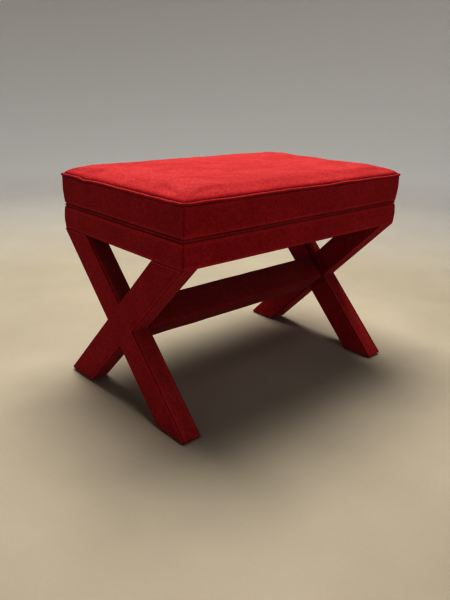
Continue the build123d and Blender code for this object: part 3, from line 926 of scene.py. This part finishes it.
def strip_section():
    """Across a side strip, from the inner face to the outer: (x, out). Its ends pass under the panels."""
    low, high = inner_face, frame_outer
    corner = inner_seam_inset - inner_taper
    line = [(low + 3.2, -inner_seam_inset - 2.6), (low + 1.0, -inner_seam_inset - 1.7)]
    line.append((low + 0.7, -inner_seam_inset + 0.3))
    line += [(low + 0.7 + corner * (1 - sin(a)), -inner_taper - corner * (1 - cos(a)) + 0.2)
             for a in np.radians([72, 54, 36, 18, 0])]
    for share in (0.12, 0.25, 0.4, 0.55, 0.7):
        x = low + (high - low) * share
        line.append((x, 0.45 * sin(pi * share) - inner_taper * (1 - share)))
    line += [(high - 6.4, 0.2), (high - 5.0, 0.1), (high - 4.1, -0.3), (high - 3.4, -1.0), (high - 2.7, -1.6)]
    line += [(high - 1.9, -1.9), (high - 1.0, -2.2)]
    return np.array(line)


def strip_mesh(name, end, place, seed):
    """A V-shaped felt strip between the two panels of an X, sunk a little at both seams."""
    section = strip_section()
    x, out = section[:, 0], section[:, 1]
    flat = np.stack([strip_line(STRIPS[place][0], -offset, STRIPS[place][1]) for offset in out], axis=1)
    normals = -line_normals(flat[:, len(out) // 2])
    outer = np.concatenate([np.broadcast_to(x[None, :, None], (*flat.shape[:2], 1)), flat], axis=2)
    away = np.concatenate([np.zeros((len(flat), 1)), normals], axis=1)[:, None, :]
    from_seam = np.minimum(x - inner_face, frame_outer - x)
    ripple = 0.2 * waves(outer, 45, seed) * np.clip((from_seam - 4) / 6, 0, 1)
    outer = (outer + away * ripple[:, :, None]) * [end, 1, 1]
    # Painted shade in the grooves at both seams, and painted highlights on the ridges beside them.
    groove = 0.6 * bump(x - frame_outer + 2.9, 1.0) + 0.8 * bump(x - inner_face - 1.4, 1.7)
    ridge = 0.5 * bump(x - frame_outer + 5.0, 1.0) + 0.4 * bump(x - inner_face - 5.2, 1.4)
    return thick_sheet(name, outer, away * [end, 1, 1], felt, 1.2, painted_shade_and_highlight=(ridge - groove)[None, :])


for number, (end, prefix) in enumerate(((-1, "left_x"), (1, "right_x"))):
    outer_panel = x_panel_mesh(f"{prefix}_outer_felt", end * frame_outer, end, 0, 2.2, 80 + number)
    inner_panel = x_panel_mesh(f"{prefix}_inner_felt", end * inner_face, -end, inner_seam_inset, 2.4,
                               84 + number)
    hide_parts(f"{prefix}_outer_panel", f"{prefix}_wadding")
    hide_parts(f"{prefix}_inner_panel")
    for panel in (outer_panel, inner_panel):
        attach(panel, "root")
    for k, place in enumerate(STRIPS):
        strip = strip_mesh(f"{prefix}_{place}_felt", end, place, 90 + 8 * number + k)
        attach(strip, "root")
        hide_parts(f"{prefix}_strip_{place}")


# ---------------------------------------------------------------- stretcher
def make_stretcher():
    """Felt round the diamond bar: soft ridges, and a seam along the underside."""
    half = bar_half
    rise = half / lean_slope
    lowest = (0, cross_z - rise)
    corners = [(-half, cross_z), (0, cross_z + rise), (half, cross_z), lowest]
    middle = (np.array(lowest) + corners[0]) / 2
    line = [middle, *corners, middle]
    line = resample(rounded(line, (5, 5, 5, 3), 6), 5.0)[:-1]
    normals = line_normals(line, closed=True)
    if (normals * (line - [0, cross_z])).sum() < 0:
        normals = -normals
    length = frame_inner + 0.6
    near_end = np.array([0, 0.3, 1.2, 2.6, 4.6])
    between = np.linspace(-length + 7, length - 7, 82)
    x = np.concatenate([near_end - length, between, length - near_end[::-1]])
    to_end = length - np.abs(x)
    tuck = 2.6 * bump(to_end, 1.6)
    seam_gap = np.linalg.norm(line - np.array([0, cross_z - rise + 1.2]), axis=1)
    face_middle = np.abs(np.abs(line[:, 0]) - half / 2)
    padding = 0.7 * bump(face_middle, 12)
    out = padding[None, :] - tuck[:, None] - (0.9 * bump(seam_gap, 1.6))[None, :] - 0.3
    flat = line[None, :, :] + normals[None, :, :] * out[:, :, None]
    outer = np.concatenate([np.broadcast_to(x[:, None, None], (*flat.shape[:2], 1)), flat], axis=2)
    away = np.concatenate([np.zeros((len(line), 1)), normals], axis=1)[None, :, :]
    pulls = 0.35 * waves(outer * [0.4, 1, 1], 40, 131) * bump(to_end, 60)[:, None]
    ripple = (0.22 * waves(outer, 80, 130) + pulls) * (1 - bump(to_end, 4))[:, None]
    outer = (outer + away * ripple[:, :, None]).transpose(1, 0, 2)
    away = np.broadcast_to(away, (len(x), len(line), 3)).transpose(1, 0, 2)
    # Painted shade on the lower faces, at both ends where the felt tucks in, and along the underside seam.
    under = 0.28 * (line[:, 1] < cross_z - 3)
    painted_shade_and_highlight = (-0.9 * bump(to_end, 2.2))[None, :] - (0.7 * bump(seam_gap, 1.4) + under)[:, None]
    return thick_sheet("stretcher_felt", outer, away, felt, wrap=True, painted_shade_and_highlight=painted_shade_and_highlight)


stretcher = make_stretcher()
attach(stretcher, "root")
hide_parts("stretcher_cover", "stretcher_wadding")


# ---------------------------------------------------------------- feet and underside
def make_foot_closure(end, side):
    """The felt patch that closes the end of a leg, folded in under its edges."""
    centre_y = side * (closure_high[1] - bar_half - 2.5)
    centre_x = end * (frame_outer + frame_inner) / 2
    half_x, half_y = (frame_outer - frame_inner) / 2 - 3.2, bar_half - 7.5
    across, along = np.linspace(-half_x, half_x, 15), np.linspace(-half_y, half_y, 27)
    x, y = np.meshgrid(across, along, indexing="ij")
    x, y = rounded_corners(x, y, half_x, half_y, 4)
    edge = np.minimum(half_x - np.abs(x), half_y - np.abs(y))
    place = np.stack([x + centre_x, y + centre_y, np.zeros_like(x)], axis=2)
    z = closure_low[2] + 0.15 + 0.9 * bump(edge, 1.2) + 0.12 * waves(place, 14, 150)
    outer = place + z[:, :, None] * np.array([0, 0, 1])
    name = f"foot_closure_{'front' if side < 0 else 'back'}_{'left' if end < 0 else 'right'}"
    return thick_sheet(name, outer, np.array([0, 0, -1.0]), felt, 1.1)


closures = [make_foot_closure(end, side) for end in (-1, 1) for side in (-1, 1)]
for closure in closures:
    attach(closure, "root")
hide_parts("foot_closures")


def make_dust_cover():
    """Thin black cloth stretched under the frame, a little slack between its staples."""
    half_x, half_y = dust_high[0], dust_high[1]
    along, across = np.linspace(-half_x, half_x, 117), np.linspace(-half_y, half_y, 73)
    x, y = np.meshgrid(along, across, indexing="ij")
    to_leg = frame_inner - 6 - np.abs(x)
    slack = np.clip(to_leg / 60, 0, 1) * np.clip((half_y - 14 - np.abs(y)) / 50, 0, 1)
    place = np.stack([x, y, np.zeros_like(x)], axis=2)
    sag = slack**0.7 * (2.0 + 0.7 * waves(place, 130, 160))
    pleats = 0.35 * waves(place * [1, 0.25, 1], 26, 161) * np.clip(slack * 4, 0, 1) * (1 - 0.6 * slack)
    z = dust_low[2] - 0.05 - sag - pleats * slack
    outer = np.stack([x, y, z], axis=2)
    return thick_sheet("dust_cloth", outer, np.array([0, 0, -1.0]), dust_cloth, 0.5)


dust = make_dust_cover()
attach(dust, "root")
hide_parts("dust_cover")

# ---------------------------------------------------------------- finishes of the CAD pieces that stay
CAD_FINISHES = {
    "foot_glides": glide_plastic,
    "seat_deck": plywood,
    "seat_foam": foam,
    "rail_front": beech_lengthwise,
    "rail_back": beech_lengthwise,
    "rail_dowels": beech_lengthwise,
    "stretcher_core": beech_lengthwise,
    "rail_left": beech_crosswise,
    "rail_right": beech_crosswise,
}
SLOT_FINISHES = {"hardwood": beech_upright, "zinc_steel": zinc_steel, "felt": felt, "wadding": wadding,
                 "cord": filler_cord, "dust_cloth": dust_cloth, "foam": foam, "plywood": plywood,
                 "glide_plastic": glide_plastic}
node_slots = {entry["node"]: entry["material_slot"] for entry in frame["record"]["subparts"]}
for name, node in frame["nodes"].items():
    finish = CAD_FINISHES.get(name) or SLOT_FINISHES[node_slots[name]]
    node.data.materials.clear()
    node.data.materials.append(finish)


# ---------------------------------------------------------------- stage, light and camera
def make_stage():
    """A pale round floor that curves up into a plain backdrop all round."""
    line = rounded([(0.5, 0), (3600, 0), (3600, 2600)], [1200], 16)
    turns = np.linspace(0, 2 * pi, 97)[:-1]
    points = [(out * cos(turn), out * sin(turn), height) for out, height in line for turn in turns]
    faces = grid_faces(len(line), len(turns), wrap_columns=True)
    faces.append(tuple(range(len(turns))))
    floor = new_object("studio_floor", points, faces, floor_material())
    floor.data.polygons.foreach_set("use_smooth", [True] * len(floor.data.polygons))


def aim(obj, place, target):
    """Puts an object at a place with its -Z axis on a target."""
    away = np.array(place, float) - np.array(target, float)
    away /= np.linalg.norm(away)
    right = np.cross([0, 0, 1.0], away)
    right /= np.linalg.norm(right)
    up = np.cross(away, right)
    turn = Matrix([[right[i], up[i], away[i]] for i in range(3)]).to_4x4()
    obj.matrix_world = Matrix.Translation(place) @ turn


def area_light(name, place, target, size, power, colour):
    light = bpy.data.lights.new(name, "AREA")
    light.shape = "RECTANGLE"
    light.size, light.size_y = size
    light.energy = power
    light.color = colour
    lamp = bpy.data.objects.new(name, light)
    scene.collection.objects.link(lamp)
    aim(lamp, place, target)


make_stage()
area_light("key_softbox", (0.20, 0.50, 2.35), (0, 0, 0.38), (1.5, 1.2), 79, (1.0, 0.985, 0.96))
area_light("left_fill", (-2.2, -0.4, 1.4), (0, 0, 0.25), (1.4, 1.4), 1.2, (1.0, 0.93, 1.0))
area_light("front_fill", (-0.3, -1.5, 2.2), (0, -0.1, 0.1), (1.2, 0.9), 7.5, (1.0, 0.93, 1.0))
area_light("backdrop_light", (0.9, 0.9, 2.9), (3.4, 3.4, 0.9), (2.0, 1.0), 9.0, (0.98, 0.99, 1.0))

world = bpy.data.worlds.new("studio")
scene.world = world
world.use_nodes = True
world.node_tree.nodes["Background"].inputs["Color"].default_value = (0.92, 0.95, 1.0, 1)
world.node_tree.nodes["Background"].inputs["Strength"].default_value = 0.03


def make_camera():
    """Camera at the photograph's viewing angle: in front of the left end, looking down at the bench."""
    place = np.array([-0.8521, -0.8886, 0.6020])
    heading, pitch, roll = radians(-42.80), radians(20.15), radians(1.58)
    ahead = np.array([-sin(heading) * cos(pitch), cos(heading) * cos(pitch), -sin(pitch)])
    level = np.array([cos(heading), sin(heading), 0.0])
    upright = np.cross(level, ahead)
    right = cos(roll) * level + sin(roll) * upright
    up = -sin(roll) * level + cos(roll) * upright
    data = bpy.data.cameras.new("camera")
    data.sensor_width = 36
    data.lens = 35.21
    data.clip_start = 0.05
    camera = bpy.data.objects.new("camera", data)
    scene.collection.objects.link(camera)
    turn = Matrix([[right[i], up[i], -ahead[i]] for i in range(3)]).to_4x4()
    camera.matrix_world = Matrix.Translation(place) @ turn
    scene.camera = camera


make_camera()
scene.view_settings.view_transform = "Standard"
scene.view_settings.exposure = 0.26
scene.view_settings.gamma = 0.68
